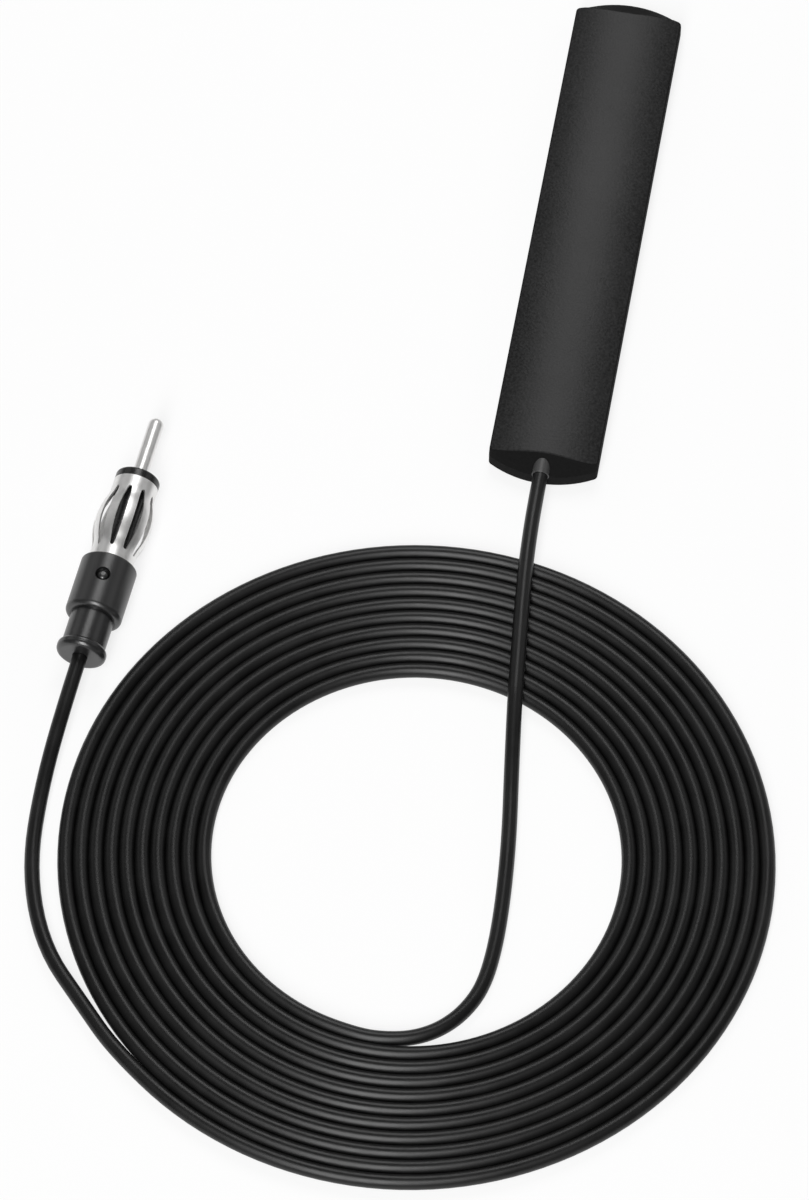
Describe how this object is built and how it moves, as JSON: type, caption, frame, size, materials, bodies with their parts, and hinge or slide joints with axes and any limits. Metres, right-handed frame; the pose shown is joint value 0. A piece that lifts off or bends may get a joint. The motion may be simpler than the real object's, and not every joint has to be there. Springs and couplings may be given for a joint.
{
  "type": "car radio antenna",
  "caption": "Flat glass-mount car radio antenna: a bow-ended black bar with an adhesive back, a long thin lead wound in a flat coil, and an aerial plug with a slit spring barrel.",
  "frame": {"origin": "centre of the bar's adhesive back face, where it meets the glass", "axes": "+Y along the bar, away from the end that the lead leaves; +Z out of the bar's front; the lead, its coil and the plug lie on the plane of the adhesive face"},
  "size_m": [0.1468, 0.2749, 0.0114],
  "materials": {
    "cover_plastic": "black, fine spark-eroded grain",
    "plate_plastic": "black, plain moulded",
    "foam_tape": "black acrylic foam tape",
    "board_laminate": "green lacquered glass laminate",
    "copper_track": "etched copper",
    "inductor_body": "dark ferrite",
    "capacitor_body": "tan ceramic",
    "solder": "bright tin solder",
    "sleeve_rubber": "dark grey, satin",
    "cable_jacket": "black, glossy",
    "wire_insulation": "milky white",
    "wire_tinned": "tinned copper strand",
    "tinned_braid": "tinned, twisted",
    "plug_nickel": "nickel plate",
    "ferrule_brass": "turned brass",
    "insulator_plastic": "black, satin",
    "shell_plastic": "dark grey, satin moulded",
    "boot_plastic": "dark grey, satin moulded"
  },
  "bodies": {
    "root": {"front_cover": "cover_plastic", "back_plate": "plate_plastic", "adhesive_pad": "foam_tape", "circuit_board": "board_laminate", "antenna_trace": "copper_track", "feed_pad": "copper_track", "ground_pad": "copper_track", "chip_inductor": "inductor_body", "chip_capacitor": "capacitor_body", "solder_joints": "solder", "lead_sleeve": "sleeve_rubber", "cord_lead": "cable_jacket", "cord_coil": "cable_jacket", "cord_tail": "cable_jacket", "lead_insulation": "wire_insulation", "plug_insulation": "wire_insulation", "lead_core": "wire_tinned", "plug_core": "wire_tinned", "lead_braid": "tinned_braid", "plug_pin": "plug_nickel", "spring_barrel": "plug_nickel", "braid_ferrule": "ferrule_brass", "pin_insulator": "insulator_plastic", "plug_shell": "shell_plastic", "plug_boot": "boot_plastic"}
  },
  "joints": []
}
